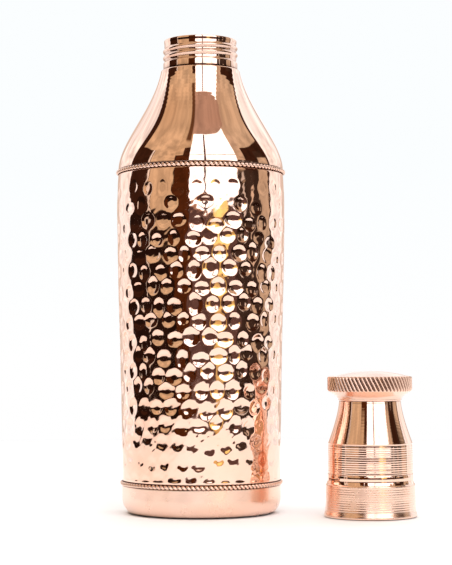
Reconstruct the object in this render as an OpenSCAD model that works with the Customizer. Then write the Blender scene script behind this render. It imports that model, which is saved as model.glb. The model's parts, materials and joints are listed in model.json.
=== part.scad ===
// Hammered copper water bottle with a screw cap that stands beside it.
// Origin: centre of the bottle's foot, on the surface it stands on. +Z is up.
// Each shell is a surface of revolution whose outline runs from its lowest point upwards, as [radius, height].

/* [Bottle body] */
// Greatest diameter of the hammered body
body_d = 76; // [66:0.5:92]
// Height of the body between the two rope rings
body_h = 139.5; // [110:0.5:170]
// Distance of the greatest diameter below the upper rope ring
girth_drop = 18.5; // [12:0.5:50]
// How far the radius draws in from the greatest diameter to the lower rope ring
foot_draw = 2.4; // [0.5:0.1:5]
// How far the radius draws in from the greatest diameter to the upper rope ring
mouth_draw = 0.65; // [0.2:0.05:1.2]
// Thickness of the copper sheet of the bottle
sheet = 0.7; // [0.5:0.05:1]

/* [Base cup] */
// Height from the foot to the lower rope ring
base_h = 13.6; // [11:0.1:20]
// How far the foot's rounded corner reaches in
corner_in = 5; // [3:0.1:8]
// How far the foot's rounded corner reaches up
corner_up = 7.5; // [4:0.1:8.5]
// Width of the flat ring that the bottle stands on
foot_ring = 2; // [1:0.1:4]
// Depth of the recess under the bottle
foot_recess = 3; // [2:0.1:4]

/* [Shoulder] */
// Height from the upper rope ring to the seam of the neck
shoulder_h = 46.5; // [36:0.1:60]
// Thickness of the shoulder's rim around the neck
shoulder_rim = 1.4; // [1:0.05:1.6]
// How far the shoulder leans out over its first, steep stretch below the neck
shoulder_lean = 3.5; // [1:0.1:6]
// Length of the steep stretch below the neck
shoulder_steep = 17.6; // [8:0.1:18]
// Length of the upright stretch above the rope ring
shoulder_upright = 12.4; // [6:0.1:16]

/* [Rope rings] */
// Diameter of the rope
rope_d = 1.5; // [1:0.05:1.7]
// Width of the groove that holds a rope, between the edges of two shells
rope_groove = 1.9; // [1.75:0.05:2.4]
// Length of the flange that slides into the body behind each rope
flange_h = 6; // [4:0.5:10]

/* [Neck] */
// Bore of the mouth
mouth_d = 31.4; // [26:0.1:38]
// Height of the neck above the shoulder's seam
neck_h = 13.8; // [12:0.1:18]
// Height of the plain band below the thread
band_h = 4; // [2.5:0.1:4.5]
// Depth of the neck's sleeve inside the shoulder
sleeve_h = 4; // [2.5:0.1:8]
// How far the lip stands out from the bottom of the thread
lip_bead = 0.1; // [0:0.05:0.2]

/* [Thread] */
// Rise of the thread in one turn
pitch = 3.05; // [2.8:0.05:3.4]
// Height of the thread's ridge
thread_h = 0.6; // [0.5:0.05:1]
// Turns of thread on the neck
neck_turns = 2.4; // [1.5:0.1:2.5]
// Turns of thread in the cap
cap_turns = 2; // [1:0.1:2.2]

/* [Cap] */
// Wall of the skirt outside the thread ring
skirt_wall = 1.55; // [1:0.05:3]
// Height of the skirt up to its cove
skirt_h = 14; // [11:0.1:15]
// Height of the cove above the skirt
cove_h = 4.8; // [3:0.1:6]
// How far the skirt's rim flares out
rim_flare = 0.7; // [0.2:0.05:1.5]
// Wall of the cap's bell
bell_wall = 0.8; // [0.5:0.05:1]
// How far the bell stands out from its spigot
bell_step = 0.65; // [0.4:0.05:1.2]
// Height of the bell's upright part above the cove
bell_drum_h = 13.1; // [8:0.1:24]
// Height of the bell's tapered part
bell_taper_h = 18.4; // [12:0.1:28]
// Diameter of the bell at its top
waist_d = 27; // [22:0.1:34]
// Diameter of the knurled head
head_d = 37; // [30:0.1:46]
// Height of the hollow stem under the head
head_neck_h = 4.3; // [3:0.1:9]
// Height of the head's knurled rim
knurl_h = 6.4; // [4:0.1:10]
// Height of the dome on the head
dome_h = 2.4; // [1:0.1:5]
// Diameter of the spigot that holds the head in the bell
spigot_d = 18; // [12:0.1:20]

/* [Seal] */
// Height of the gasket's underside above the cap's rim
seal_z = 13; // [12.6:0.1:13.4]
// Thickness of the gasket
gasket_t = 2; // [1.5:0.1:2.4]
// Width of the gasket's ring
gasket_w = 5; // [2:0.1:8]
// Thickness of the plate that closes the bell
plate_t = 0.8; // [0.5:0.1:1]

/* [Fits] */
// Gap filled with solder between fixed pieces
solder_gap = 0.05; // [0.03:0.01:0.1]
// Clearance between the threads of the neck and the cap, along the radius
thread_gap = 0.3; // [0.2:0.05:0.5]
// Clearance around the gasket, which is free to turn in the cap
gasket_gap = 0.15; // [0.1:0.05:0.3]

/* [Place of the cap] */
// Clear distance between the bottle's girth and the cap's rim
cap_away = 18.7; // [10:0.1:60]
// Direction of the cap from the bottle, in degrees from +X
cap_bearing = -15.7; // [-180:0.1:180]

/* [Hidden] */
$fn = 96;

copper = [0.85, 0.5, 0.36];
copper_dark = [0.7, 0.38, 0.27];
silicone = [0.92, 0.9, 0.86];

// Bottle heights
lower_rope_z = base_h;
upper_rope_z = base_h + body_h;
seam_z = upper_rope_z + shoulder_h;
lip_z = seam_z + neck_h;
girth_z = upper_rope_z - girth_drop;
shell_foot_z = lower_rope_z + rope_groove / 2;
shell_mouth_z = upper_rope_z - rope_groove / 2;
cup_edge_z = lower_rope_z - rope_groove / 2;
dome_edge_z = upper_rope_z + rope_groove / 2;

// Bottle radii
girth_r = body_d / 2;
foot_r = girth_r - foot_draw;
body_mouth_r = girth_r - mouth_draw;
cup_flange_r = foot_r - sheet - solder_gap;
dome_flange_r = body_mouth_r - sheet - solder_gap;
bore_r = mouth_d / 2;
thread_root_r = bore_r + sheet;
thread_crest_r = thread_root_r + thread_h;
shoulder_top_r = thread_root_r + solder_gap + shoulder_rim;

// Cap radii and heights, from the cap's rim upwards
cap_root_r = thread_crest_r + thread_gap;
ring_r = cap_root_r + sheet;
skirt_bore_r = ring_r + solder_gap;
skirt_r = skirt_bore_r + skirt_wall;
rim_r = skirt_r + rim_flare;
bell_r = ring_r + bell_step;
bell_inner_r = ring_r - bell_wall;
waist_r = waist_d / 2;
head_r = head_d / 2;
spigot_r = spigot_d / 2;
plate_z = seal_z + gasket_t + gasket_gap;
bell_foot_z = seal_z - 1.8;
cove_top_z = skirt_h + cove_h;
drum_top_z = cove_top_z + bell_drum_h;
bell_top_z = drum_top_z + bell_taper_h;
knurl_z = bell_top_z + head_neck_h;
knurl_top_z = knurl_z + knurl_h;
cap_h = knurl_top_z + dome_h;

// Thread places: the neck's thread ends below the lip, and the cap's ends below the top of its ring.
// The cap's ridge is turned so that it lies midway between the neck's turns when the lip meets the gasket.
thread_half_w = 0.34 * pitch;
neck_thread_z = lip_z - 1.3 - thread_half_w - neck_turns * pitch;
thread_ring_top = bell_foot_z - 0.1;
cap_thread_z = thread_ring_top - 0.1 - thread_half_w - cap_turns * pitch;
closed_z = lip_z - seal_z;
midway_z = neck_thread_z - closed_z + pitch / 2;
cap_thread_turn = 360 * (cap_thread_z - midway_z) / pitch;
cap_distance = girth_r + cap_away + rim_r;

// Outline helpers
function bezier(a, b, c, d, n) = [
    for (i = [0 : n])
        let (t = i / n, u = 1 - t)
        u * u * u * a + 3 * u * u * t * b + 3 * u * t * t * c + t * t * t * d
];
function arc(centre, rx, rz, from, to, n) = [
    for (i = [0 : n])
        let (a = from + (to - from) * i / n)
        centre + [rx * cos(a), rz * sin(a)]
];
function reversed(pts) = [for (i = [len(pts) - 1 : -1 : 0]) pts[i]];
function outward(pts, i) =
    let (d = pts[min(i + 1, len(pts) - 1)] - pts[max(i - 1, 0)])
    [d[1], -d[0]] / norm(d);
function inset(pts, t) = [for (i = [0 : len(pts) - 1]) pts[i] - t * outward(pts, i)];
function between(pts, z0, z1) = [for (p = pts) if (p[1] > z0 && p[1] < z1) p];

// Outlines of the bottle's shells
function body_outline() = let (rise = girth_z - shell_foot_z) concat(
    bezier([foot_r, shell_foot_z], [foot_r + 0.3, shell_foot_z + 0.38 * rise],
        [girth_r, girth_z - 0.19 * rise], [girth_r, girth_z], 14),
    [for (i = [1 : 6])
        let (t = i / 6)
        [girth_r - mouth_draw * t * t, girth_z + (shell_mouth_z - girth_z) * t]]
);
function cup_outline() = concat(
    [[0, foot_recess], [foot_r - corner_in - foot_ring - 3, foot_recess - 0.6],
        [foot_r - corner_in - foot_ring - 1.2, foot_recess * 0.5],
        [foot_r - corner_in - foot_ring, 0]],
    arc([foot_r - corner_in, corner_up], corner_in, corner_up, -90, 0, 12)
);
function dome_outline() = bezier([body_mouth_r, dome_edge_z], [body_mouth_r, dome_edge_z + shoulder_upright],
    [shoulder_top_r + shoulder_lean, seam_z - shoulder_steep], [shoulder_top_r, seam_z], 24);
function bell_outline() = concat(
    [[bell_r, cove_top_z], [bell_r, drum_top_z - 0.4]],
    bezier([bell_r - 0.25, drum_top_z + 0.3], [bell_r - 1.9, drum_top_z + 0.26 * bell_taper_h],
        [waist_r + 0.4, bell_top_z - 0.3 * bell_taper_h], [waist_r, bell_top_z], 14)
);

// One turn-by-turn ridge with a rounded crest; it sinks into the wall at both ends
module thread_ridge(root_r, height, z0, turns, inward = false) {
    steps_a_turn = 24;
    sunk = 0.25;
    w = thread_half_w;
    section = [[-w, -sunk], [-0.66 * w, 0.45 * height], [-0.25 * w, height],
        [0.25 * w, height], [0.66 * w, 0.45 * height], [w, -sunk]];
    rings = round(turns * steps_a_turn);
    fade_rings = 8;
    side = inward ? -1 : 1;
    function fade(i) = min(1, 0.06 + i / fade_rings, 0.06 + (rings - i) / fade_rings);
    pts = [
        for (i = [0 : rings])
            for (s = section)
                let (a = 360 * i / steps_a_turn, r = root_r + side * (-sunk + (s[1] + sunk) * fade(i)))
                [r * cos(a), r * sin(a), z0 + pitch * i / steps_a_turn + s[0]]
    ];
    n = len(section);
    walls = [
        for (i = [0 : rings - 1])
            for (k = [0 : n - 1])
                let (a = i * n + k, b = i * n + (k + 1) % n)
                each [[a, b, b + n], [a, b + n, a + n]]
    ];
    first = [for (k = [1 : n - 2]) [0, k + 1, k]];
    last = [for (k = [1 : n - 2]) [rings * n, rings * n + k, rings * n + k + 1]];
    faces = concat(walls, first, last);
    polyhedron(pts, inward ? [for (f = faces) [f[0], f[2], f[1]]] : faces);
}

module at_cap() {
    rotate([0, 0, cap_bearing]) translate([cap_distance, 0, 0]) rotate([0, 0, -cap_bearing]) children();
}

// Foot of the bottle: a deep-drawn cup whose flange slides up into the body
module base_cup() {
    outer = concat(cup_outline(), [[foot_r, cup_edge_z]]);
    floor_z = foot_recess + sheet;
    inner = [for (p = between(inset(cup_outline(), sheet), 0, cup_edge_z - 2.4)) if (p[0] > 1) p];
    color(copper) rotate_extrude() polygon(concat(
        outer,
        [[cup_flange_r, cup_edge_z], [cup_flange_r, cup_edge_z + rope_groove + flange_h],
            [cup_flange_r - sheet, cup_edge_z + rope_groove + flange_h],
            [cup_flange_r - sheet, cup_edge_z - 0.6], [foot_r - sheet, cup_edge_z - 1.8]],
        reversed(inner),
        [[0, floor_z]]
    ));
}

// Hammered middle of the bottle: a tube that draws in a little at both ends
module body_shell() {
    seat_h = flange_h + 1.5;
    outer = body_outline();
    inner = [
        for (p = between(outer, shell_foot_z + seat_h, shell_mouth_z - seat_h - 2))
            [p[0] - sheet, p[1]]
    ];
    color(copper) rotate_extrude() polygon(concat(
        outer,
        [[body_mouth_r - sheet, shell_mouth_z], [body_mouth_r - sheet, shell_mouth_z - seat_h]],
        reversed(inner),
        [[foot_r - sheet, shell_foot_z + seat_h], [foot_r - sheet, shell_foot_z]]
    ));
}

// Smooth shoulder: its flange slides down into the body and its rim grips the neck's sleeve
module shoulder_dome() {
    outer = dome_outline();
    inner = between(inset(outer, sheet), dome_edge_z + 2.4, seam_z - 2.4);
    color(copper) rotate_extrude() polygon(concat(
        outer,
        [[thread_root_r + solder_gap, seam_z], [thread_root_r + solder_gap, seam_z - 1.2]],
        reversed(inner),
        [[body_mouth_r - sheet, dome_edge_z + 1.8], [dome_flange_r - sheet, dome_edge_z + 0.6],
            [dome_flange_r - sheet, dome_edge_z - rope_groove - flange_h],
            [dome_flange_r, dome_edge_z - rope_groove - flange_h], [dome_flange_r, dome_edge_z]]
    ));
}

// Neck: a sleeve with a plain band, a rolled thread and a rounded lip
module neck_collar() {
    band_r = thread_crest_r - 0.1;
    lip_r = thread_root_r + lip_bead;
    lip_round = (lip_r - bore_r) / 2;
    color(copper) {
        difference() {
            union() {
                rotate_extrude() polygon(concat(
                    [[0, seam_z - sleeve_h], [thread_root_r, seam_z - sleeve_h], [thread_root_r, seam_z],
                        [band_r - 0.3, seam_z], [band_r, seam_z + 0.4], [band_r, seam_z + band_h - 0.5],
                        [thread_root_r, seam_z + band_h], [thread_root_r, lip_z - 1.4], [lip_r, lip_z - 1.1]],
                    arc([bore_r + lip_round, lip_z - lip_round], lip_round, lip_round, 0, 90, 4),
                    [[0, lip_z]]
                ));
                thread_ridge(thread_root_r, thread_h, neck_thread_z, neck_turns);
            }
            translate([0, 0, seam_z - sleeve_h - 1]) cylinder(h = neck_h + sleeve_h + 2, r = bore_r);
        }
    }
}

module rope_ring(r, z) {
    color(copper_dark) rotate_extrude() translate([r + rope_d / 2 + solder_gap, z]) circle(d = rope_d, $fn = 32);
}

module lower_rope_ring() { rope_ring(cup_flange_r, lower_rope_z); }
module upper_rope_ring() { rope_ring(dome_flange_r, upper_rope_z); }

// Turned skirt of the cap, with a flared rim and a cove that steps in to the bell
module cap_skirt() {
    color(copper) at_cap() difference() {
        rotate_extrude() polygon(concat(
            [[0, 0], [rim_r - 0.3, 0], [rim_r, 0.3], [rim_r, 1.1]],
            [[skirt_r + 0.2, 2.6], [skirt_r, 6], [skirt_r, skirt_h]],
            bezier([skirt_r - 0.35, skirt_h + 0.35], [skirt_r - 0.75, skirt_h + 0.3 * cove_h],
                [bell_r + 0.45, cove_top_z - 0.45 * cove_h], [bell_r + 0.1, cove_top_z], 6),
            [[0, cove_top_z]]
        ));
        translate([0, 0, -1]) cylinder(h = cove_top_z + 2, r = skirt_bore_r);
    }
}

// Ring with the cap's inner thread, soldered into the skirt
module cap_thread_ring() {
    ring_z = 1.2;
    color(copper_dark) at_cap() {
        difference() {
            translate([0, 0, ring_z]) cylinder(h = thread_ring_top - ring_z, r = ring_r);
            translate([0, 0, ring_z - 1]) cylinder(h = thread_ring_top - ring_z + 2, r = cap_root_r);
        }
        rotate([0, 0, cap_thread_turn]) thread_ridge(cap_root_r, thread_h, cap_thread_z, cap_turns, true);
    }
}

// Bell of the cap: a spun shell whose spigot sits in the skirt
module cap_bell() {
    outer = bell_outline();
    inner = between(inset(outer, bell_wall), cove_top_z + 0.5, bell_top_z - bell_wall - 0.2);
    top_r = waist_r - bell_wall - 0.1;
    color(copper) at_cap() rotate_extrude() polygon(concat(
        [[ring_r, bell_foot_z], [ring_r, cove_top_z]],
        outer,
        [[spigot_r + solder_gap, bell_top_z], [spigot_r + solder_gap, bell_top_z - bell_wall],
            [top_r, bell_top_z - bell_wall]],
        reversed(inner),
        [[bell_inner_r, cove_top_z - 0.4], [bell_inner_r, bell_foot_z]]
    ));
}

// Head of the cap: a turned disc on a flared stem, hollow from below, with a spigot into the bell
module cap_head() {
    spigot_h = 2.6;
    lower_round = 1.4;
    upper_round = 0.9;
    dome_r = head_r - upper_round - 0.2;
    color(copper) at_cap() difference() {
        rotate_extrude() polygon(concat(
            [[0, bell_top_z - spigot_h], [spigot_r, bell_top_z - spigot_h], [spigot_r, bell_top_z],
                [waist_r, bell_top_z]],
            bezier([waist_r + 0.15, bell_top_z + 0.9], [waist_r + 0.6, bell_top_z + 2.2],
                [head_r - 2.6, knurl_z - 1.6], [head_r - 1.2, knurl_z - 0.4], 8),
            arc([head_r - lower_round, knurl_z + lower_round], lower_round, lower_round, -60, 0, 4),
            arc([head_r - upper_round, knurl_top_z - upper_round], upper_round, upper_round, 0, 80, 4),
            [for (i = [0 : 10]) let (t = i / 10) [dome_r * (1 - t), knurl_top_z + dome_h * (1 - (1 - t) * (1 - t))]]
        ));
        translate([0, 0, bell_top_z - spigot_h - 1]) cylinder(h = head_neck_h + spigot_h + 2.5, r = spigot_r - 1.6);
    }
}

// Plate that closes the bell above the gasket
module cap_seal_plate() {
    color(copper_dark) at_cap() translate([0, 0, plate_z]) cylinder(h = plate_t, r = bell_inner_r - solder_gap);
}

// Silicone ring that the lip presses on, loose in its seat
module cap_gasket() {
    gasket_r = bell_inner_r - gasket_gap;
    color(silicone) at_cap() translate([0, 0, seal_z]) difference() {
        cylinder(h = gasket_t, r = gasket_r);
        translate([0, 0, -1]) cylinder(h = gasket_t + 2, r = gasket_r - gasket_w);
    }
}

base_cup();
body_shell();
shoulder_dome();
neck_collar();
lower_rope_ring();
upper_rope_ring();
cap_skirt();
cap_thread_ring();
cap_bell();
cap_head();
cap_seal_plate();
cap_gasket();
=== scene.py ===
"""Hammered copper water bottle with its screw cap beside it: meshes, finishes, studio and camera.

Lengths are in metres unless a name ends in _mm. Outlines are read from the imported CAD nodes, so that every
piece keeps the CAD's shape and place. The hammering, the twisted ropes, the knurl and the turned lines are
added here.
"""
import json
import math
import bpy
import numpy as np
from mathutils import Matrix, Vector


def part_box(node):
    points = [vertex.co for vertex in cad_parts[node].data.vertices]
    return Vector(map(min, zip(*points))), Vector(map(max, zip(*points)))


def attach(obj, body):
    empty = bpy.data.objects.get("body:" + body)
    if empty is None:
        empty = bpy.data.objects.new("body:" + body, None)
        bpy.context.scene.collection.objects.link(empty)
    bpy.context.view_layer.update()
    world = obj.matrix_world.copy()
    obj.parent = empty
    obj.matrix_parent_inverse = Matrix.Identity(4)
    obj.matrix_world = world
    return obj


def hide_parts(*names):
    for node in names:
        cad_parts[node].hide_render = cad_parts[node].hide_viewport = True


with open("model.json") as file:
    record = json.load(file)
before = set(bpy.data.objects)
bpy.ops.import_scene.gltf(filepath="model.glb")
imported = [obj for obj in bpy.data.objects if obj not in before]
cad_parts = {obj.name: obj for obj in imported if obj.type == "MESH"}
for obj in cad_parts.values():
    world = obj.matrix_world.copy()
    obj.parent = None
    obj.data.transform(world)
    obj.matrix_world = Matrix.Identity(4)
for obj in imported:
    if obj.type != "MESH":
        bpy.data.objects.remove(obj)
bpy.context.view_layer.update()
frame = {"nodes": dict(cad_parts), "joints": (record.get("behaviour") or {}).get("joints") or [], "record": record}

MM = 0.001
TAU = 2 * math.pi
rng = np.random.default_rng(20)

# ---------------------------------------------------------------- camera
EYE_DISTANCE = 0.722      # from the bottle's axis
EYE_SIDE = 0.0112         # to the right of the bottle's axis
EYE_HEIGHT = 0.0697
EYE_PITCH = 2.67          # degrees up
EYE_ROLL = 0.2            # degrees clockwise
LENS_MM = 101.7


def make_camera():
    data = bpy.data.cameras.new("camera")
    data.lens = LENS_MM
    data.sensor_width = 36.0
    data.clip_start = 0.01
    data.clip_end = 20.0
    camera = bpy.data.objects.new("camera", data)
    bpy.context.scene.collection.objects.link(camera)
    camera.location = (EYE_SIDE, -EYE_DISTANCE, EYE_HEIGHT)
    camera.rotation_euler = (math.radians(90 + EYE_PITCH), math.radians(EYE_ROLL), 0)
    bpy.context.scene.camera = camera


# ---------------------------------------------------------------- outlines from the CAD
def axis_for(body):
    """The bottle's axis, or the cap's, as (x, y)."""
    if body == "bottle":
        return 0.0, 0.0
    turn = next(j for j in frame["joints"] if j["name"] == "cap_turn")
    return turn["pos_m"][0], turn["pos_m"][1]


def cad_points(node, body):
    """Radius and height of every vertex of a CAD node."""
    mesh = frame["nodes"][node].data
    co = np.empty(len(mesh.vertices) * 3)
    mesh.vertices.foreach_get("co", co)
    co = co.reshape(-1, 3)
    cx, cy = axis_for(body)
    return np.hypot(co[:, 0] - cx, co[:, 1] - cy), co[:, 2]


def outer_outline(node, body, z0, z1, gap=0.15 * MM):
    """The node's outer outline between two heights, as rising (radius, height) rows.

    A vertex belongs to the outline when no edge of the mesh passes outside it at its height.
    """
    mesh = frame["nodes"][node].data
    edges = np.empty(len(mesh.edges) * 2, int)
    mesh.edges.foreach_get("vertices", edges)
    edges = edges.reshape(-1, 2)
    r, z = cad_points(node, body)
    low = edges[np.arange(len(edges)), np.argmin(z[edges], 1)]
    high = edges[np.arange(len(edges)), np.argmax(z[edges], 1)]
    steep = z[high] - z[low] > 1e-5
    low, high = low[steep], high[steep]
    rows = []
    for height in np.unique(np.round(z[(z >= z0 - 1e-6) & (z <= z1 + 1e-6)], 6)):
        radius = r[np.abs(z - height) < 2e-6].max()
        span = (z[low] < height - 2e-6) & (z[high] > height + 2e-6)
        a, b = low[span], high[span]
        t = (height - z[a]) / (z[b] - z[a])
        reach = (r[a] + t * (r[b] - r[a])).max() if len(a) else 0
        if radius > reach - 0.06 * MM and (not rows or height - rows[-1][1] > gap):
            rows.append((radius, height))
    return np.array(rows)


def smooth_radius(rows, heights):
    """Radius at each height, on a smooth curve through the rows."""
    z, r = rows[:, 1], rows[:, 0]
    slope = np.gradient(r, z)
    i = np.clip(np.searchsorted(z, heights) - 1, 0, len(z) - 2)
    h = z[i + 1] - z[i]
    t = np.clip((heights - z[i]) / h, 0, 1)
    a = (1 + 2 * t) * (1 - t) ** 2 * r[i] + t * (1 - t) ** 2 * h * slope[i]
    b = t * t * (3 - 2 * t) * r[i + 1] + t * t * (t - 1) * h * slope[i + 1]
    return a + b


# ---------------------------------------------------------------- sections and meshes of revolution
def rounded(corners, step=0.4 * MM):
    """A section from corners (radius, height, rounding), with each corner rounded off."""
    pts = [np.array(c[:2], float) for c in corners]
    out = []
    last = len(pts) - 1
    for i, p in enumerate(pts):
        bend = corners[i][2] if len(corners[i]) > 2 else 0
        if i in (0, last) or bend <= 0:
            out.append(p)
            continue
        back, ahead = pts[i - 1] - p, pts[i + 1] - p
        reach = min(bend, 0.48 * np.linalg.norm(back), 0.48 * np.linalg.norm(ahead))
        a = p + back / np.linalg.norm(back) * reach
        b = p + ahead / np.linalg.norm(ahead) * reach
        for t in np.linspace(0, 1, 6):
            out.append((1 - t) ** 2 * a + 2 * t * (1 - t) * p + t * t * b)
    return fill_in(out, step)


def fill_in(points, step):
    """The same polyline with no stretch longer than step."""
    out = [np.array(points[0], float)]
    for p in points[1:]:
        p = np.array(p, float)
        gap = np.linalg.norm(p - out[-1])
        if gap < 1e-7:
            continue
        n = max(1, math.ceil(gap / step))
        start = out[-1]
        out.extend(start + (p - start) * k / n for k in range(1, n + 1))
    return np.array(out)


def build(name, verts, faces, material):
    """A smooth-shaded object from vertices and faces of any number of corners."""
    mesh = bpy.data.meshes.new(name)
    mesh.vertices.add(len(verts))
    mesh.vertices.foreach_set("co", np.asarray(verts, float).ravel())
    sizes = np.array([len(f) for f in faces])
    mesh.loops.add(int(sizes.sum()))
    mesh.loops.foreach_set("vertex_index", np.concatenate([np.asarray(f) for f in faces]).astype(int))
    mesh.polygons.add(len(faces))
    starts = np.concatenate([[0], np.cumsum(sizes)[:-1]])
    mesh.polygons.foreach_set("loop_start", starts)
    mesh.polygons.foreach_set("use_smooth", np.ones(len(faces), bool))
    mesh.materials.append(material)
    mesh.update()
    mesh.validate()
    piece = bpy.data.objects.new(name, mesh)
    bpy.context.scene.collection.objects.link(piece)
    return piece


def revolve(name, radius, height, body, material, closed=True):
    """A surface from radius[section point, angle] and height of the same shape.

    closed joins the last section point to the first; otherwise both ends close on the axis in a fan.
    The section runs with the solid on its left, so faces look outwards.
    """
    rows, turns = radius.shape
    angle = np.arange(turns) * TAU / turns
    cx, cy = axis_for(body)
    x = cx + radius * np.cos(angle)
    y = cy + radius * np.sin(angle)
    verts = np.stack([x, y, np.broadcast_to(height, radius.shape)], 2).reshape(-1, 3)
    i = np.arange(rows if closed else rows - 1)
    j = np.arange(turns)
    a = (i[:, None] * turns + j).ravel()
    b = (i[:, None] * turns + (j + 1) % turns).ravel()
    c = (((i[:, None] + 1) % rows) * turns + (j + 1) % turns).ravel()
    d = (((i[:, None] + 1) % rows) * turns + j).ravel()
    faces = list(np.stack([a, b, c, d], 1))
    if not closed:
        low, top = len(verts), len(verts) + 1
        ends = [(cx, cy, height[0].mean()), (cx, cy, height[-1].mean())]
        verts = np.concatenate([verts, ends])
        last = (rows - 1) * turns
        faces += [np.array([low, (k + 1) % turns, k]) for k in range(turns)]
        faces += [np.array([top, last + k, last + (k + 1) % turns]) for k in range(turns)]
    return build(name, verts, faces, material)


def lathe(name, section, body, material, turns, closed=True):
    """A surface of revolution from one section."""
    radius = np.repeat(section[:, :1], turns, 1)
    height = np.repeat(section[:, 1:2], turns, 1)
    return revolve(name, radius, height, body, material, closed)


def finish_piece(piece, body, node):
    """Let the piece ride its body and stand for its CAD node."""
    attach(piece, body)
    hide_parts(node)


# ---------------------------------------------------------------- copper finishes
def new_material(name):
    """An empty material with a Principled shader: (material, nodes, links, shader)."""
    m = bpy.data.materials.new(name)
    m.use_nodes = True
    nodes = m.node_tree.nodes
    nodes.clear()
    out = nodes.new("ShaderNodeOutputMaterial")
    shader = nodes.new("ShaderNodeBsdfPrincipled")
    m.node_tree.links.new(shader.outputs[0], out.inputs[0])
    return m, nodes, m.node_tree.links, shader


def noise(nodes, links, coords, scale, detail=3.0, rough=0.5, stretch=(1, 1, 1)):
    """A noise value over the surface; scale is in features a metre."""
    mapping = nodes.new("ShaderNodeMapping")
    mapping.inputs["Scale"].default_value = stretch
    links.new(coords, mapping.inputs["Vector"])
    n = nodes.new("ShaderNodeTexNoise")
    n.inputs["Scale"].default_value = scale
    n.inputs["Detail"].default_value = detail
    n.inputs["Roughness"].default_value = rough
    links.new(mapping.outputs[0], n.inputs["Vector"])
    return n.outputs["Fac"]


def spread(nodes, links, value, low, high, from_low=0.3, from_high=0.7):
    """value stretched from one range to another."""
    r = nodes.new("ShaderNodeMapRange")
    r.inputs["From Min"].default_value = from_low
    r.inputs["From Max"].default_value = from_high
    r.inputs["To Min"].default_value = low
    r.inputs["To Max"].default_value = high
    links.new(value, r.inputs["Value"])
    return r.outputs[0]


def blend_colour(nodes, links, factor, a, b):
    """A mix of two colours; a and b are colours or sockets."""
    mix = nodes.new("ShaderNodeMix")
    mix.data_type = "RGBA"
    for socket, value in ((mix.inputs[6], a), (mix.inputs[7], b)):
        if isinstance(value, bpy.types.NodeSocket):
            links.new(value, socket)
        else:
            socket.default_value = (*value, 1)
    links.new(factor, mix.inputs[0])
    return mix.outputs[2]


LATHE_LINES = 7000        # a lathe's fine lines, a metre
MIRROR_SMOOTH = 0.03      # roughness of mirror-polished copper, clean and hazy
MIRROR_DULL = 0.07
HAZE_LOW = 0.38           # noise values at which the haze starts and is full
HAZE_HIGH = 0.68
COPPER = (0.96, 0.70, 0.585)
COPPER_WARM = (0.945, 0.64, 0.50)
# colour of the painted shade in hollows
COPPER_PAINTED_SHADE = (0.09, 0.028, 0.012)


def copper(name, smooth, dull, scratch_mm=0.0006, lines_mm=0.0, crevice_mm=1.0, painted_shade=0.4, deep=0.5,
           mirror_above=None):
    """Copper with a slow drift of tint, hazy patches, hairline scratches and painted shade in its hollows.

    smooth and dull are the roughness of its clean and its hazy patches. lines_mm is the depth of the fine
    lines that a lathe leaves around the vertical axis. Hollows narrower than about crevice_mm are darkened
    with painted shade, fully so where only the share deep of the view is free. Above the height mirror_above
    the metal is polished and the lines are gone.
    """
    m, nodes, links, shader = new_material(name)
    coords = nodes.new("ShaderNodeTexCoord").outputs["Object"]
    drift = spread(nodes, links, noise(nodes, links, coords, 38, 2), 0, 1)
    tint = blend_colour(nodes, links, drift, COPPER, COPPER_WARM)
    # Painted shade: ambient occlusion darkens the colour towards a near-black copper in hollows.
    shade = nodes.new("ShaderNodeAmbientOcclusion")
    shade.samples = 8
    shade.inputs["Distance"].default_value = crevice_mm * MM
    hollow_painted_shade = spread(nodes, links, shade.outputs["AO"], painted_shade, 0, deep, 0.97)
    links.new(blend_colour(nodes, links, hollow_painted_shade, tint, COPPER_PAINTED_SHADE), shader.inputs["Base Color"])
    shader.inputs["Metallic"].default_value = 1.0
    haze = noise(nodes, links, coords, 160, 4, 0.6)
    roughness = spread(nodes, links, haze, smooth, dull, HAZE_LOW, HAZE_HIGH)
    bump = nodes.new("ShaderNodeBump")
    bump.inputs["Distance"].default_value = scratch_mm * MM
    links.new(noise(nodes, links, coords, 900, 3, 0.6, (1.0, 1.0, 0.25)), bump.inputs["Height"])
    normal = bump.outputs[0]
    if lines_mm:
        rings = noise(nodes, links, coords, LATHE_LINES, 2, 0.7, (0.0, 0.0, 1.0))
        lathe_bump = nodes.new("ShaderNodeBump")
        lathe_bump.inputs["Distance"].default_value = lines_mm * MM
        links.new(rings, lathe_bump.inputs["Height"])
        links.new(normal, lathe_bump.inputs["Normal"])
        normal = lathe_bump.outputs[0]
        if mirror_above:
            height = nodes.new("ShaderNodeSeparateXYZ")
            links.new(coords, height.inputs[0])
            polish = spread(nodes, links, height.outputs[2], 1, 0, mirror_above,
                            mirror_above + 0.8 * MM)
            links.new(polish, lathe_bump.inputs["Strength"])
            plain = spread(nodes, links, haze, MIRROR_SMOOTH, MIRROR_DULL, HAZE_LOW, HAZE_HIGH)
            mix = nodes.new("ShaderNodeMix")
            links.new(polish, mix.inputs[0])
            links.new(plain, mix.inputs[2])
            links.new(roughness, mix.inputs[3])
            roughness = mix.outputs[0]
    links.new(roughness, shader.inputs["Roughness"])
    links.new(normal, shader.inputs["Normal"])
    return m


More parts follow.
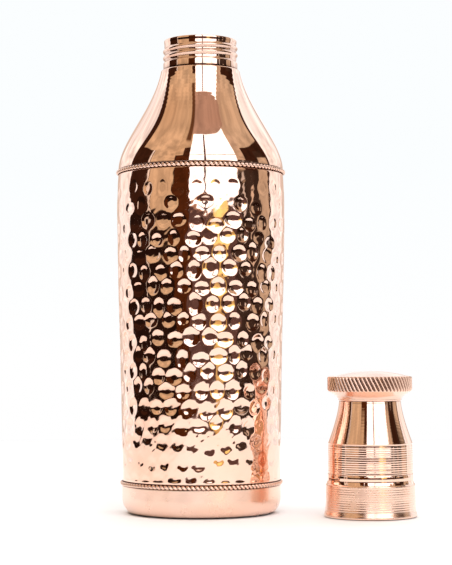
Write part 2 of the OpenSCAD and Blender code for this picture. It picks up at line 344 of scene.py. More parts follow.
def silicone():
    """Milky silicone with a faint mottle."""
    m, nodes, links, shader = new_material("silicone")
    coords = nodes.new("ShaderNodeTexCoord").outputs["Object"]
    mottle = spread(nodes, links, noise(nodes, links, coords, 300, 3), 0, 1)
    milky = blend_colour(nodes, links, mottle, (0.86, 0.85, 0.81), (0.78, 0.76, 0.71))
    links.new(milky, shader.inputs["Base Color"])
    bloom = spread(nodes, links, noise(nodes, links, coords, 700, 2), 0.35, 0.5)
    links.new(bloom, shader.inputs["Roughness"])
    shader.inputs["Subsurface Weight"].default_value = 0.3
    shader.inputs["Subsurface Radius"].default_value = (0.002, 0.002, 0.0018)
    bump = nodes.new("ShaderNodeBump")
    bump.inputs["Distance"].default_value = 0.01 * MM
    links.new(noise(nodes, links, coords, 2500, 2), bump.inputs["Height"])
    links.new(bump.outputs[0], shader.inputs["Normal"])
    return m


# ---------------------------------------------------------------- the bottle
SHEET = 0.7 * MM
BODY_TURNS = 400
BODY_ROWS = 224
INNER_ROWS = 24
DIMPLES_A_ROW = 30
DIMPLE_PITCH = 7.4 * MM        # from row to row
DIMPLE_RADIUS = 3.25 * MM
DIMPLE_DEPTH = 0.47 * MM
LIP_SHARE = 0.12               # part of a blow's depth that lies outside its rim
FLATNESS = 3.3                 # a higher power gives a flatter middle and a steeper rim
WAVE_HEIGHT = 0.035 * MM       # slow waves of the whole sheet
LUMP_HEIGHT = 0.009 * MM
LUMP_RIPPLES = 26


def dimples(z_low, z_high, girth):
    """The hammer's blows, in staggered rows with a hand's irregularity.

    Each is (angle, height, radius, depth, how much wider than tall).
    """
    blows = []
    z = z_low + 2.6 * MM
    offset = 0.0
    while z < z_high - 2.0 * MM:
        rise = (z - z_low) / (z_high - z_low)
        fade = np.interp(rise, [0, 0.14, 0.27, 0.84, 0.97], [0.26, 0.34, 1.0, 1.0, 0.25])
        sway = rng.uniform(0, TAU)
        for k in range(DIMPLES_A_ROW):
            angle = (k + offset) * TAU / DIMPLES_A_ROW + rng.normal(0, 0.55 * MM) / girth
            height = z + 1.0 * MM * math.sin(4 * angle + sway) + rng.normal(0, 0.65 * MM)
            size = DIMPLE_RADIUS * rng.normal(1, 0.08) * (0.8 + 0.2 * fade)
            depth = DIMPLE_DEPTH * rng.normal(1, 0.16) * fade
            missed = rng.random() < 0.35
            if not (missed and rise > 0.88):
                blows.append((angle, height, size, depth, rng.normal(0, 0.09)))
        z += DIMPLE_PITCH * rng.uniform(0.93, 1.07)
        offset += 0.5 + rng.uniform(-0.14, 0.14)
    return blows


def hammered_depth(angle, height, blows, girth, z_low, z_high):
    """How far in the hammered sheet lies, over a grid of angles and heights."""
    depth = np.zeros((len(height), len(angle)))
    step = height[1] - height[0]
    for a, z, size, deep, oval in blows:
        reach = 2.0 * size
        i0 = max(0, int((z - reach - height[0]) / step))
        i1 = min(len(height), int((z + reach - height[0]) / step) + 2)
        across = (angle - a + math.pi) % TAU - math.pi
        j = np.nonzero(np.abs(across) * girth < reach)[0]
        up = (height[i0:i1] - z) * (1 + oval)
        far = np.hypot(up[:, None], (across[j] * girth * (1 - oval))[None, :]) / size
        inside = deep * ((1 - LIP_SHARE) * (1 - far ** FLATNESS) + LIP_SHARE)
        outside = deep * LIP_SHARE * np.exp(-(far - 1) * 3.2)
        blow = np.where(far < 1, inside, outside)
        part = depth[i0:i1][:, j]
        depth[np.ix_(np.arange(i0, i1), j)] = np.maximum(part, blow)
    edge = np.minimum(height - z_low, z_high - height) / (1.6 * MM)
    depth *= np.clip(edge, 0, 1)[:, None] ** 1.5
    flutes = np.sin(17 * angle + 1.1 * np.sin(3 * angle))[None, :] * np.sin(height * 130 + 1)[:, None]
    waves = np.sin(3 * angle + 0.7)[None, :] * np.sin(height * 95)[:, None]
    slow = WAVE_HEIGHT * (2 + flutes + waves) + lumps(angle, height)
    return depth + slow * np.clip(edge / 3, 0, 1)[:, None]


def lumps(angle, height):
    """Small unevenness of beaten sheet, as a sum of ripples in random directions."""
    total = np.zeros((len(height), len(angle)))
    for _ in range(LUMP_RIPPLES):
        around = rng.integers(25, 95)
        along = rng.uniform(-1, 1) * TAU / (2.6 * MM)
        phase = rng.uniform(0, TAU)
        total += np.cos(around * angle[None, :] + along * height[:, None] + phase)
    return LUMP_HEIGHT * total / math.sqrt(LUMP_RIPPLES / 2)


def make_body(material):
    """The hammered tube, with the blows on its outside and a plainer inside that follows them."""
    low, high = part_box("body_shell")
    z0, z1 = low[2], high[2]
    rows = outer_outline("body_shell", "bottle", z0, z1)
    girth = (high[0] - low[0]) / 2
    angle = np.arange(BODY_TURNS) * TAU / BODY_TURNS
    heights = np.linspace(z0, z1, BODY_ROWS)
    blows = dimples(z0, z1, girth)
    depth = hammered_depth(angle, heights, blows, girth, z0, z1)
    outer = smooth_radius(rows, heights)[:, None] - depth
    pick = np.linspace(0, BODY_ROWS - 1, INNER_ROWS).round().astype(int)[::-1]
    inner = outer[pick] - SHEET
    edge = 0.12 * MM
    outer[0] -= edge
    outer[-1] -= edge
    radius = np.concatenate([outer, inner])
    height = np.concatenate([heights, heights[pick]])[:, None] + np.zeros((1, BODY_TURNS))
    piece = revolve("body_shell_hammered", radius, height, "bottle", material)
    finish_piece(piece, "bottle", "body_shell")


def make_shoulder(material):
    """The smooth shoulder, from its flange inside the body to the throat under the neck."""
    low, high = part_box("shoulder_dome")
    rope_low, rope_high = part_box("upper_rope_ring")
    groove = rope_low[2] + rope_high[2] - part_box("body_shell")[1][2]
    rows = outer_outline("shoulder_dome", "bottle", groove, high[2])
    heights = np.linspace(groove, high[2], 150)
    radius = smooth_radius(rows, heights)
    outer = np.stack([radius, heights], 1)
    slope = np.gradient(radius, heights)
    normal = np.stack([np.ones_like(slope), -slope], 1) / np.sqrt(1 + slope ** 2)[:, None]
    inner = (outer - normal * SHEET)[8:-6:4]
    throat = min(r for r, z in zip(*cad_points("shoulder_dome", "bottle")) if z > high[2] - 1 * MM)
    flange = radius[0] - SHEET - 0.05 * MM
    rim = [(outer[-1][0] - 0.25 * MM, high[2]), (throat, high[2]), (throat, high[2] - 1.2 * MM)]
    foot = [(flange - SHEET, groove + 0.6 * MM, 0.3 * MM), (flange - SHEET, low[2], 0.15 * MM),
            (flange, low[2], 0.15 * MM), (flange, groove, 0)]
    top = outer[:-1].copy()
    top[0] += (-0.15 * MM, 0)
    section = np.concatenate([top, fill_in(rim, 0.6 * MM), inner[::-1],
                              rounded([(inner[0][0], inner[0][1], 0)] + foot, 1.0 * MM)[1:]])
    piece = lathe("shoulder_dome_polished", section, "bottle", material, 288)
    finish_piece(piece, "bottle", "shoulder_dome")


PITCH = 3.05 * MM
THREAD_H = 0.6 * MM
NECK_TURNS = 2.4
CAP_TURNS = 2.0
NECK_BAND = 4.0 * MM           # height of the plain band below the thread


def thread_bulge(height, angle, z_first, turns, first_angle=0.0):
    """Height of a rolled thread's ridge over a grid of heights and angles."""
    half = 0.42 * PITCH
    bulge = np.zeros((len(height), len(angle)))
    turned = ((angle - first_angle) % TAU) / TAU
    for k in range(-1, math.ceil(turns) + 1):
        along = turned + k
        centre = z_first + PITCH * along
        off = np.abs(height[:, None] - centre[None, :]) / half
        shape = np.where(off < 1, (0.5 + 0.5 * np.cos(math.pi * np.minimum(off, 1))) ** 0.8, 0)
        ends = np.clip(along / 0.3, 0, 1) * np.clip((turns - along) / 0.3, 0, 1)
        bulge = np.maximum(bulge, shape * (ends * ends * (3 - 2 * ends))[None, :])
    return bulge * THREAD_H


def make_neck(material):
    """The neck: a sleeve, a plain band, a rolled thread and a rounded lip."""
    low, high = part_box("neck_collar")
    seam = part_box("shoulder_dome")[1][2]
    lip = high[2]
    mouth = next(m for m in frame["record"]["mounts"] if m["name"] == "mouth")
    bore = mouth["dims"]["r_mm"] * MM
    root = bore + SHEET
    crest = root + THREAD_H
    band_top = seam + NECK_BAND
    turns = 288
    angle = np.arange(turns) * TAU / turns
    outside = rounded([
        (root, low[2], 0.2 * MM), (root, seam + 0.02 * MM, 0),
        (crest - 0.2 * MM, seam + 0.02 * MM, 0.35 * MM),
        (crest - 0.1 * MM, seam + 0.7 * MM, 0.4 * MM), (crest - 0.1 * MM, band_top - 0.6 * MM, 0.5 * MM),
        (root, band_top, 0.4 * MM), (root, lip - 1.7 * MM, 0.3 * MM),
        (root + 0.14 * MM, lip - 0.9 * MM, 0.35 * MM),
        (root + 0.12 * MM, lip, 0.5 * MM), (bore, lip, 0.4 * MM), (bore, lip - 1.2 * MM, 0)], 0.16 * MM)
    inside = rounded([
        (bore, lip - 1.2 * MM, 0), (bore, low[2], 0.2 * MM), (root, low[2], 0)], 1.0 * MM)[1:-1]
    section = np.concatenate([outside, inside])
    radius = np.repeat(section[:, :1], turns, 1)
    z_first = lip - 1.3 * MM - 0.34 * PITCH - NECK_TURNS * PITCH
    ridge = thread_bulge(section[:, 1], angle, z_first, NECK_TURNS)
    outer_side = (section[:, 0] > bore + 0.6 * SHEET) & (section[:, 1] > band_top - 1.0 * MM)
    below_lip = np.clip((lip - 0.5 * MM - section[:, 1]) / (0.6 * MM), 0, 1)
    radius += ridge * (outer_side * below_lip)[:, None]
    radius = np.minimum(radius, np.maximum(section[:, :1], crest))
    height = np.repeat(section[:, 1:2], turns, 1)
    piece = revolve("neck_collar_rolled", radius, height, "bottle", material)
    finish_piece(piece, "bottle", "neck_collar")


def make_base(material):
    """The foot: a drawn cup with a raised floor, on a narrow resting ring."""
    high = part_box("base_cup")[1]
    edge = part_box("body_shell")[0][2]
    rope_low, rope_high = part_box("lower_rope_ring")
    cup_top = rope_low[2] + rope_high[2] - edge
    foot = high[0]
    flange = foot - SHEET - 0.05 * MM
    corner = rounded_corner(foot, 5.0 * MM, 7.5 * MM)
    under = rounded([
        (0.4 * MM, 3.0 * MM, 0), (foot - 10 * MM, 2.4 * MM, 2 * MM), (foot - 8.0 * MM, 1.3 * MM, 1.2 * MM),
        (foot - 6.6 * MM, 0.0, 0.6 * MM), (foot - 5.0 * MM, 0.0, 0)], 0.8 * MM)
    wall = rounded([
        (foot, 7.5 * MM, 0), (foot, cup_top, 0.25 * MM), (flange, cup_top, 0), (flange, high[2], 0.15 * MM),
        (flange - SHEET, high[2], 0.15 * MM), (flange - SHEET, cup_top - 0.6 * MM, 0.5 * MM),
        (foot - SHEET, cup_top - 1.8 * MM, 0.5 * MM), (foot - SHEET, 8.0 * MM, 0)], 0.4 * MM)
    inner_corner = rounded_corner(foot - SHEET, 4.5 * MM, 7.0 * MM, SHEET)[::-1]
    floor = rounded([(foot - 6.0 * MM, SHEET, 0), (foot - 7.0 * MM, 1.0 * MM, 0.6 * MM),
                     (foot - 10 * MM, 3.1 * MM, 1.5 * MM), (0.4 * MM, 3.7 * MM, 0)], 1.5 * MM)
    section = np.concatenate([under, corner[1:], wall[1:], inner_corner[1:], floor[1:]])
    piece = lathe("base_cup_satin", section, "bottle", material, 256, closed=False)
    finish_piece(piece, "bottle", "base_cup")


def rounded_corner(radius, across, up, lift=0.0, n=22):
    """A quarter ellipse from the resting ring up to the wall."""
    t = np.linspace(-math.pi / 2, 0, n)
    return np.stack([radius - across + across * np.cos(t), up + (up - lift) * np.sin(t)], 1)


ROPE_BEADS = 112
ROPE_THICK = 1.9 * MM
ROPE_WAIST = 0.2               # thickness of a notch as a share of a bead's
ROPE_SLANT = 0.28              # how far a notch leans over the wire's half-turn, in beads


def make_rope(node, material):
    """A ring of twisted wire: rounded strands with slanting notches between them."""
    low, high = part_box(node)
    middle = (low[2] + high[2]) / 2
    ring = (high[0] - low[0]) / 2 - (high[2] - low[2]) / 2
    steps = 14
    sides = 20
    n = ROPE_BEADS * steps
    along = (np.arange(n) * TAU / n)[:, None]
    around = (np.arange(sides) * TAU / sides)[None, :]
    phase = (ROPE_BEADS * along / TAU + ROPE_SLANT * np.sin(around)) % 1
    bulge = (1 - (2 * phase - 1) ** 2) ** 0.55
    wire = ROPE_THICK / 2 * (ROPE_WAIST + (1 - ROPE_WAIST) * bulge)
    radius = ring + wire * np.cos(around)
    x = radius * np.cos(along)
    y = radius * np.sin(along)
    z = middle + wire * np.sin(around)
    i, k = np.meshgrid(np.arange(n), np.arange(sides), indexing="ij")
    i2, k2 = (i + 1) % n, (k + 1) % sides
    faces = np.stack([i * sides + k, i2 * sides + k, i2 * sides + k2, i * sides + k2], 2).reshape(-1, 4)
    piece = build(node + "_twisted", np.stack([x, y, z], 2).reshape(-1, 3), list(faces), material)
    finish_piece(piece, "bottle", node)


# ---------------------------------------------------------------- the cap
CAP_TURNED = 224               # steps around the cap's turned pieces
GROOVE_PITCH = 0.95 * MM       # turned grooves of the bell's drum
GROOVE_DEPTH = 0.04 * MM
SKIRT_GROOVE_PITCH = 0.98 * MM
SKIRT_GROOVE_DEPTH = 0.036 * MM
SKIRT_STEP = 14.0 * MM         # height of the skirt below its cove
BELL_DRUM = 13.1 * MM          # height of the bell's straight drum


def turned(section, z0, z1, pitch, depth, outside):
    """Fine turned grooves on the part of a section between two heights and beyond the radius outside."""
    out = []
    for r, z in section:
        if z0 < z < z1 and r > outside:
            fade = min(1, (z - z0) / pitch, (z1 - z) / pitch)
            wave = 0.5 - 0.5 * math.cos(TAU * (z - z0) / pitch)
            uneven = 0.75 + 0.35 * math.sin(2.4 * math.floor((z - z0) / pitch) ** 2)
            r = r - depth * fade * uneven * wave ** 0.7
        out.append((r, z))
    return np.array(out)


def make_bell(material):
    """The bell: a grooved drum, a polished taper, and its spigot inside the skirt."""
    low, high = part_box("cap_bell")
    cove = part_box("cap_skirt")[1][2]
    rows = outer_outline("cap_bell", "cap", cove, high[2])
    r_drum = (high[0] - low[0]) / 2
    wall = 0.8 * MM
    drum_top = max(z for r, z in rows if r > r_drum - 0.02 * MM)
    taper = rows[rows[:, 1] > drum_top + 0.1 * MM]
    drum = rounded([
        (r_drum, cove + 0.02 * MM, 0), (r_drum, drum_top + 0.15 * MM, 0.5 * MM),
        tuple(taper[0])], 0.075 * MM)
    drum = turned(drum, cove + 0.3 * MM, drum_top - 0.1 * MM, GROOVE_PITCH, GROOVE_DEPTH, 0)
    rise = np.clip((drum[:, 1] - cove) / (drum_top - cove), 0, 1)
    drum[:, 0] -= 0.3 * MM * rise ** 2 * (1 - np.clip((drum[:, 1] - drum_top) / (0.5 * MM), 0, 1))
    heights = np.linspace(taper[0][1], high[2], 180)
    curve = smooth_radius(taper, heights)
    curve -= 0.009 * MM * (1 + np.sin(heights * TAU / (0.58 * MM) + 2 * np.sin(heights * 700)))
    outer = np.concatenate([drum[:-1], np.stack([curve, heights], 1)])
    hole = spigot_radius() + 0.05 * MM
    spigot = r_drum - 0.65 * MM
    inner = np.stack([curve - wall * 1.04, heights], 1)[4:-16:6][::-1]
    top = [(curve[-1] - 0.1 * MM, high[2]), (hole, high[2]), (hole, high[2] - wall),
           (inner[0][0], high[2] - wall)]
    bottom = [(inner[-1][0], inner[-1][1]), (spigot - wall, cove - 0.4 * MM), (spigot - wall, low[2]),
              (spigot, low[2]), (spigot, cove + 0.02 * MM)]
    section = np.concatenate([outer[:-1], fill_in(top, 1.0 * MM), inner, fill_in(bottom, 1.0 * MM)[1:]])
    piece = lathe("cap_bell_turned", section, "cap", material, CAP_TURNED)
    finish_piece(piece, "cap", "cap_bell")


def spigot_radius():
    """Radius of the spigot under the cap's head, from its lowest vertices."""
    r, z = cad_points("cap_head", "cap")
    return r[z < z.min() + 0.01 * MM].max()


def make_skirt(material):
    """The skirt, with a flared rim below and a cove above."""
    low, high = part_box("cap_skirt")
    rim = (high[0] - low[0]) / 2
    rows = outer_outline("cap_skirt", "cap", 0, high[2])
    bore = cad_points("cap_skirt", "cap")[0].min()
    skirt = rows[np.abs(rows[:, 1] - 6 * MM) < 0.3 * MM, 0].max()
    top = rows[-1]
    section = rounded([
        (bore, 0.0, 0), (rim - 0.25 * MM, 0.0, 0.3 * MM), (rim, 0.5 * MM, 0.35 * MM),
        (rim - 0.05 * MM, 1.3 * MM, 0.5 * MM), (skirt + 0.22 * MM, 2.5 * MM, 1.0 * MM),
        (skirt + 0.02 * MM, 6.0 * MM, 2.0 * MM), (skirt, SKIRT_STEP, 0.35 * MM),
        (skirt - 0.42 * MM, SKIRT_STEP + 0.5 * MM, 0.25 * MM),
        (skirt - 0.72 * MM, SKIRT_STEP + 1.7 * MM, 1.2 * MM),
        (top[0] + 0.12 * MM, high[2] - 1.2 * MM, 0.8 * MM), (top[0], high[2], 0.15 * MM),
        (bore + 0.5 * MM, high[2], 0)], 0.085 * MM)
    section = turned(section, 2.6 * MM, SKIRT_STEP - 0.5 * MM, SKIRT_GROOVE_PITCH, SKIRT_GROOVE_DEPTH,
                     skirt - 0.6 * MM)
    inside = rounded([(bore + 0.5 * MM, high[2], 0), (bore, high[2], 0.1 * MM), (bore, 0.0, 0)], 1.0 * MM)
    section = np.concatenate([section, inside[1:-1]])
    angle = np.arange(CAP_TURNED) * TAU / CAP_TURNED
    ragged = np.sin(9 * angle) + np.sin(23 * angle + 1) + np.sin(41 * angle + 2)
    in_cove = (section[:, 1] > SKIRT_STEP) & (section[:, 1] < high[2] - 0.4 * MM)
    in_cove &= section[:, 0] > bore + 0.3 * MM
    radius = section[:, :1] + 0.02 * MM * in_cove[:, None] * ragged
    height = np.repeat(section[:, 1:2], CAP_TURNED, 1)
    piece = revolve("cap_skirt_turned", radius, height, "cap", material)
    finish_piece(piece, "cap", "cap_skirt")


KNURLS = 62
STEPS_A_KNURL = 12
HEAD_DOME = 2.4 * MM
KNURL_HEIGHT = 6.4 * MM
KNURL_TWIST = 10.3             # degrees over the knurl's height
KNURL_DEPTH = 0.8 * MM


def make_head(material):
    """The head: a flared stem, a slanted knurl, a low dome, and the spigot in the bell."""
    low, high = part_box("cap_head")
    r_head = (high[0] - low[0]) / 2
    z_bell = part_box("cap_bell")[1][2]
    spigot = spigot_radius()
    rows = outer_outline("cap_head", "cap", z_bell, high[2])
    waist = rows[np.abs(rows[:, 1] - z_bell) < 0.3 * MM, 0].max()
    knurl_high = high[2] - HEAD_DOME
    knurl_low = knurl_high - KNURL_HEIGHT
    dome_edge = r_head - 1.1 * MM
    stem = rounded([
        (waist, z_bell + 0.03 * MM, 0), (waist + 0.3 * MM, z_bell + 0.5 * MM, 0.3 * MM),
        (waist + 0.3 * MM, z_bell + 1.0 * MM, 0.4 * MM), (waist + 1.1 * MM, z_bell + 2.1 * MM, 1.0 * MM),
        (r_head - 1.4 * MM, knurl_low - 0.6 * MM, 0.9 * MM), (r_head, knurl_low + 0.3 * MM, 0.9 * MM),
        (r_head, knurl_low + 2.4 * MM, 0)], 0.25 * MM)
    rim = rounded([
        (r_head, knurl_low + 2.4 * MM, 0), (r_head, knurl_high - 0.2 * MM, 1.0 * MM),
        (dome_edge, knurl_high + 0.12 * MM, 0.5 * MM),
        (dome_edge - 1.5 * MM, knurl_high + 0.4 * MM, 0)], 0.25 * MM)
    t = np.linspace(1, 0.03, 16)[1:]
    start = rim[-1]
    dome = np.stack([start[0] * t, high[2] - (high[2] - start[1]) * t ** 2], 1)
    under = rounded([
        (0.3 * MM, knurl_low + 1.5 * MM, 0), (spigot - 1.6 * MM, knurl_low + 1.5 * MM, 0.4 * MM),
        (spigot - 1.6 * MM, low[2], 0.15 * MM), (spigot, low[2], 0.15 * MM),
        (spigot, z_bell + 0.03 * MM, 0), (waist, z_bell + 0.03 * MM, 0)], 2.0 * MM)
    section = np.concatenate([under[:-1], stem, rim[1:], dome])
    turns = KNURLS * STEPS_A_KNURL
    angle = np.arange(turns) * TAU / turns
    radius = np.repeat(section[:, :1], turns, 1)
    height = np.repeat(section[:, 1:2], turns, 1)
    middle = (knurl_low + knurl_high) / 2
    slant = math.radians(KNURL_TWIST) / (knurl_high - knurl_low)
    wave = 0.5 + 0.5 * np.cos(KNURLS * (angle[None, :] + slant * (height - middle)))
    inside = np.clip((section[:, 1] - (knurl_low - 0.1 * MM)) / (0.5 * MM), 0, 1)
    inside *= np.clip((knurl_high + 0.25 * MM - section[:, 1]) / (0.5 * MM), 0, 1)
    inside *= section[:, 0] > r_head - 1.6 * MM
    radius -= KNURL_DEPTH * wave ** 1.5 * inside[:, None]
    piece = revolve("cap_head_knurled", radius, height, "cap", material, closed=False)
    finish_piece(piece, "cap", "cap_head")


def make_thread_ring(material):
    """The ring with the cap's inner thread, turned so that it meets the neck's thread midway."""
    low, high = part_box("cap_thread_ring")
    r_out = (high[0] - low[0]) / 2
    root = r_out - SHEET
    angle = np.arange(CAP_TURNED) * TAU / CAP_TURNED
    section = np.concatenate([
        rounded([(root + 0.2 * MM, low[2], 0), (r_out, low[2], 0.2 * MM), (r_out, high[2], 0.2 * MM),
                 (root, high[2], 0.25 * MM), (root, high[2] - 0.5 * MM, 0)], 1.5 * MM),
        fill_in([(root, high[2] - 0.5 * MM), (root, low[2] + 0.1 * MM)], 0.2 * MM)[1:]])
    radius = np.repeat(section[:, :1], CAP_TURNED, 1)
    half = 0.34 * PITCH
    z_first = high[2] - 0.1 * MM - half - CAP_TURNS * PITCH
    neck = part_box("neck_collar")
    neck_first = neck[1][2] - 1.3 * MM - half - NECK_TURNS * PITCH
    closed = neck[1][2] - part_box("cap_gasket")[0][2]
    first_angle = TAU * (z_first - (neck_first - closed + PITCH / 2)) / PITCH
    ridge = thread_bulge(section[:, 1], angle, z_first, CAP_TURNS, first_angle % TAU)
    radius -= ridge * (section[:, 0] < root + 0.05 * MM)[:, None]
    height = np.repeat(section[:, 1:2], CAP_TURNED, 1)
    piece = revolve("cap_thread_ring_rolled", radius, height, "cap", material)
    finish_piece(piece, "cap", "cap_thread_ring")


def make_seal_plate(material):
    """The plate above the gasket, with a pressed ring."""
    low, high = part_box("cap_seal_plate")
    r = (high[0] - low[0]) / 2
    section = rounded([
        (0.3 * MM, low[2] + 0.05 * MM, 0), (r - 6 * MM, low[2] + 0.05 * MM, 0.4 * MM),
        (r - 5.5 * MM, low[2], 0.4 * MM),
        (r, low[2], 0.15 * MM), (r, high[2], 0.2 * MM), (r - 5.5 * MM, high[2], 0.4 * MM),
        (r - 6 * MM, high[2] - 0.05 * MM, 0.4 * MM), (0.3 * MM, high[2] - 0.05 * MM, 0)], 1.0 * MM)
    piece = lathe("cap_seal_plate_pressed", section, "cap", material, 160, closed=False)
    finish_piece(piece, "cap", "cap_seal_plate")


GASKET_WIDTH = 5.0 * MM


def make_gasket(material):
    """The loose silicone ring that meets the lip."""
    low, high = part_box("cap_gasket")
    r_out = (high[0] - low[0]) / 2
    r_in = r_out - GASKET_WIDTH
    z0, z1 = low[2], high[2]
    middle = (r_in + r_out) / 2
    section = rounded([
        (middle, z0, 0), (r_out - 0.2 * MM, z0, 0.4 * MM), (r_out, z0 + 0.5 * MM, 0.5 * MM),
        (r_out, z1, 0.5 * MM), (r_in, z1, 0.5 * MM), (r_in, z0, 0.5 * MM), (middle, z0, 0)], 0.3 * MM)[:-1]
    piece = lathe("cap_gasket_moulded", section, "cap", material, 160)
    finish_piece(piece, "cap_seal", "cap_gasket")


# ---------------------------------------------------------------- studio
FLOOR_RADIUS = 0.62
BACKDROP = (0.965, 0.99, 1.0)


def make_floor():
    """A pale round table top, large enough to look endless to the camera, with warm painted shade at its left."""
    m, nodes, links, shader = new_material("table")
    coords = nodes.new("ShaderNodeTexCoord").outputs["Object"]
    grain = spread(nodes, links, noise(nodes, links, coords, 60, 3), 0, 1)
    white = blend_colour(nodes, links, grain, (0.9, 0.905, 0.91), (0.88, 0.89, 0.9))
    place = nodes.new("ShaderNodeSeparateXYZ")
    links.new(coords, place.inputs[0])
    # Painted shade: from about 0.13 m left of the bottle's axis the table fades to a darker, warmer grey, fully so
    # at 0.3 m.
    painted_shade_left = spread(nodes, links, place.outputs[0], 1, 0, -0.3, -0.13)
    links.new(blend_colour(nodes, links, painted_shade_left, white, (0.86, 0.79, 0.76)), shader.inputs["Base Color"])
    shader.inputs["Roughness"].default_value = 0.7
    turns = 128
    angle = np.arange(turns) * TAU / turns
    verts = np.stack([FLOOR_RADIUS * np.cos(angle), FLOOR_RADIUS * np.sin(angle), np.zeros(turns)], 1)
    floor = build("table_top", verts, [np.arange(turns)], m)
    floor.location = (0, 0, -0.0001)


def math_node(nodes, links, operation, a, b=None):
    """A Math node's output; a and b are numbers or sockets."""
    n = nodes.new("ShaderNodeMath")
    n.operation = operation
    for socket, value in zip(n.inputs, (a, b)):
        if value is None:
            continue
        if isinstance(value, bpy.types.NodeSocket):
            links.new(value, socket)
        else:
            socket.default_value = value
    return n.outputs[0]


# The room that the copper mirrors, as patches of light and dark seen from the bottle.
# Each is (from azimuth, to azimuth, from elevation, to elevation, softness, colour); azimuth 0 is towards
# the camera and grows towards its right, and later patches cover earlier ones.
ROOM = [
    (-111, 112, -90, 90, 1.5, (0.02, 0.008, 0.005)),         # dark room on the camera's side
    (-111, 112, 4.2, 90, 1.5, (0.045, 0.016, 0.008)),        # its walls
    (-14, 52, -90, 6, 2.0, (0.12, 0.066, 0.058)),            # boards below the window
    (21, 30, -90, 4, 1.5, (0.75, 0.52, 0.2)),                # sun on the boards
    (-77, -74, -2, 60, 0.8, (0.9, 0.8, 0.7)),                # door frame
    (-73, -36, 3.5, 90, 1.0, (0.74, 0.54, 0.34)),            # sunlit ochre wall
    (-101, -72, 34, 90, 1.0, (0.74, 0.53, 0.33)),            # the same wall above the door
    (-36, -14, 26, 90, 1.0, (0.68, 0.49, 0.30)),             # and above the curtain
    (-34, -15, -5, 24, 1.5, (0.08, 0.022, 0.006)),           # brown curtain
    (-25, -14, 24, 42, 1.0, (0.06, 0.02, 0.008)),            # its top
    (-15, 56, 6.0, 60.5, 0.8, (2.4, 2.4, 2.45)),             # window
    (5.6, 8.6, 5, 60, 0.5, (0.12, 0.09, 0.09)),              # window bar
    (-15, 56, 26, 27.6, 0.4, (0.6, 0.45, 0.38)),             # cross bar
    (18, 38, 2.4, 6.6, 1.0, (1.3, 1.0, 0.38)),               # window sill in the sun
    (-12, 16, 4.4, 6.2, 0.8, (0.5, 0.3, 0.2)),               # window sill in shade
    (62, 108, 38, 90, 1.0, (0.66, 0.50, 0.34)),              # olive wall
    (53, 66, 12, 90, 1.0, (0.62, 0.46, 0.32)),
    (86, 104, 10, 30, 1.0, (0.05, 0.025, 0.015)),            # tall cupboard
    (53, 88, -3, 13, 2.0, (0.05, 0.03, 0.022)),              # dark bookcase
    (60, 63, 3, 12, 1.0, (0.9, 0.8, 0.72)),                  # gaps between its books
    (74, 77, 2, 10, 1.0, (0.7, 0.55, 0.42)),
    (89, 108, -2, 20, 2.0, (0.64, 0.5, 0.36)),               # door
    (-19, 60, 60.5, 90, 1.0, (0.50, 0.325, 0.24)),           # ceiling
    (-28, -18, 53, 90, 3.0, (0.14, 0.06, 0.025)),            # lamp
    (148, 172, -90, 12, 7.0, (0.85, 0.72, 0.64)),            # rear walls
    (-172, -148, -90, 12, 7.0, (0.85, 0.72, 0.64)),
    (158, 166, -90, 40, 3.0, (0.75, 0.6, 0.5)),              # rear doors
    (-167, -153, -90, 34, 3.0, (0.8, 0.66, 0.56)),
    (-178, 178, 76, 90, 9.0, (0.7, 0.55, 0.46)),             # ceiling
]


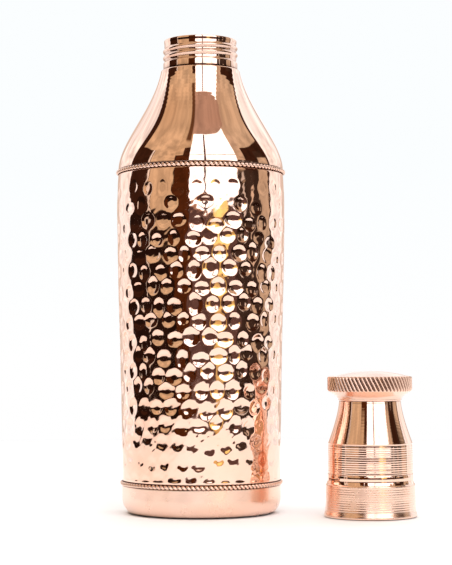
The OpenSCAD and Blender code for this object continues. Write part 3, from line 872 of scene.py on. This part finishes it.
def make_room():
    """World light: the room for reflections and a plain white backdrop for the camera."""
    world = bpy.data.worlds.new("room")
    bpy.context.scene.world = world
    world.use_nodes = True
    nodes, links = world.node_tree.nodes, world.node_tree.links
    nodes.clear()
    out = nodes.new("ShaderNodeOutputWorld")
    direction = nodes.new("ShaderNodeTexCoord").outputs["Generated"]
    split = nodes.new("ShaderNodeSeparateXYZ")
    links.new(direction, split.inputs[0])
    x, y, z = split.outputs
    back = math_node(nodes, links, "MULTIPLY", y, -1.0)
    azimuth = math_node(nodes, links, "ARCTAN2", x, back)
    azimuth = math_node(nodes, links, "MULTIPLY", azimuth, 180 / math.pi)
    elevation = math_node(nodes, links, "MULTIPLY", math_node(nodes, links, "ARCSINE", z), 180 / math.pi)
    ripple = nodes.new("ShaderNodeTexNoise")
    ripple.inputs["Scale"].default_value = 7.0
    ripple.inputs["Detail"].default_value = 5.0
    links.new(direction, ripple.inputs["Vector"])
    mottle = ripple.outputs["Fac"]
    bend = nodes.new("ShaderNodeTexNoise")
    bend.inputs["Scale"].default_value = 3.0
    bend.inputs["Detail"].default_value = 1.0
    links.new(direction, bend.inputs["Vector"])
    shift = spread(nodes, links, bend.outputs["Fac"], -3.0, 3.0, 0, 1)
    elevation = math_node(nodes, links, "ADD", elevation, shift)
    colour = None
    previous = (1.22, 1.22, 1.24)
    for a0, a1, e0, e1, soft, value in ROOM:
        sides = []
        for angle, low, high in ((azimuth, a0, a1), (elevation, e0, e1)):
            up = spread(nodes, links, angle, 0, 1, low - soft / 2, low + soft / 2)
            down = spread(nodes, links, angle, 1, 0, high - soft / 2, high + soft / 2)
            sides.append(math_node(nodes, links, "MULTIPLY", up, down))
        mask = math_node(nodes, links, "MULTIPLY", *sides)
        colour = blend_colour(nodes, links, mask, previous, value)
        previous = colour
    uneven = spread(nodes, links, mottle, 0.72, 1.18, 0.35, 0.65)
    tinted = nodes.new("ShaderNodeVectorMath")
    tinted.operation = "SCALE"
    links.new(colour, tinted.inputs[0])
    links.new(uneven, tinted.inputs["Scale"])
    room = nodes.new("ShaderNodeBackground")
    links.new(tinted.outputs[0], room.inputs["Color"])
    plain = nodes.new("ShaderNodeBackground")
    links.new(blend_colour(nodes, links, spread(nodes, links, z, 0, 1, 0.0, 0.12), (1, 1, 1), BACKDROP),
              plain.inputs["Color"])
    rays = nodes.new("ShaderNodeLightPath")
    mix = nodes.new("ShaderNodeMixShader")
    links.new(rays.outputs["Is Camera Ray"], mix.inputs[0])
    links.new(room.outputs[0], mix.inputs[1])
    links.new(plain.outputs[0], mix.inputs[2])
    links.new(mix.outputs[0], out.inputs["Surface"])


def make_table_light():
    """Soft light from above for the table; the copper doesn't mirror it."""
    data = bpy.data.lights.new("table_light", "AREA")
    data.shape = "DISK"
    data.size = 1.6
    data.energy = 10.0
    data.color = (1.0, 0.995, 0.985)
    light = bpy.data.objects.new("table_light", data)
    bpy.context.scene.collection.objects.link(light)
    light.location = (0.0, -0.1, 1.1)
    light.visible_glossy = False
    light.visible_camera = False


# ---------------------------------------------------------------- everything
make_camera()

taper_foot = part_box("cap_skirt")[1][2] + BELL_DRUM
# Each finish gets painted shade in its hollows, with the strength and reach given here.
hammered = copper("copper_hammered", 0.03, 0.09, crevice_mm=0.8, painted_shade=0.3)
polished = copper("copper_polished", 0.02, 0.05, crevice_mm=1.0, painted_shade=1.0)
satin = copper("copper_satin", 0.2, 0.3, scratch_mm=0.0008, crevice_mm=0.9, painted_shade=1.0)
rope = copper("copper_rope", 0.1, 0.18, crevice_mm=1.3, painted_shade=1.0)
neck_copper = copper("copper_neck", 0.02, 0.06, crevice_mm=2.8, painted_shade=1.0, deep=0.7)
head_copper = copper("copper_knurled", 0.15, 0.24, scratch_mm=0.0008, crevice_mm=4.0, painted_shade=1.0,
                     deep=0.52)
skirt_copper = copper("copper_turned", 0.2, 0.3, lines_mm=0.0015, crevice_mm=0.6, painted_shade=0.8,
                      mirror_above=SKIRT_STEP)
bell_copper = copper("copper_turned_polished", 0.06, 0.13, lines_mm=0.0016, crevice_mm=0.8, painted_shade=1.0,
                     mirror_above=taper_foot)
inner_copper = copper("copper_inner", 0.25, 0.4, lines_mm=0.006, painted_shade=0.6)

make_body(hammered)
make_shoulder(polished)
make_neck(neck_copper)
make_base(satin)
make_rope("lower_rope_ring", rope)
make_rope("upper_rope_ring", rope)
make_skirt(skirt_copper)
make_bell(bell_copper)
make_head(head_copper)
make_thread_ring(inner_copper)
make_seal_plate(inner_copper)
make_gasket(silicone())

make_floor()
make_room()
make_table_light()
bpy.context.scene.view_settings.view_transform = "Standard"
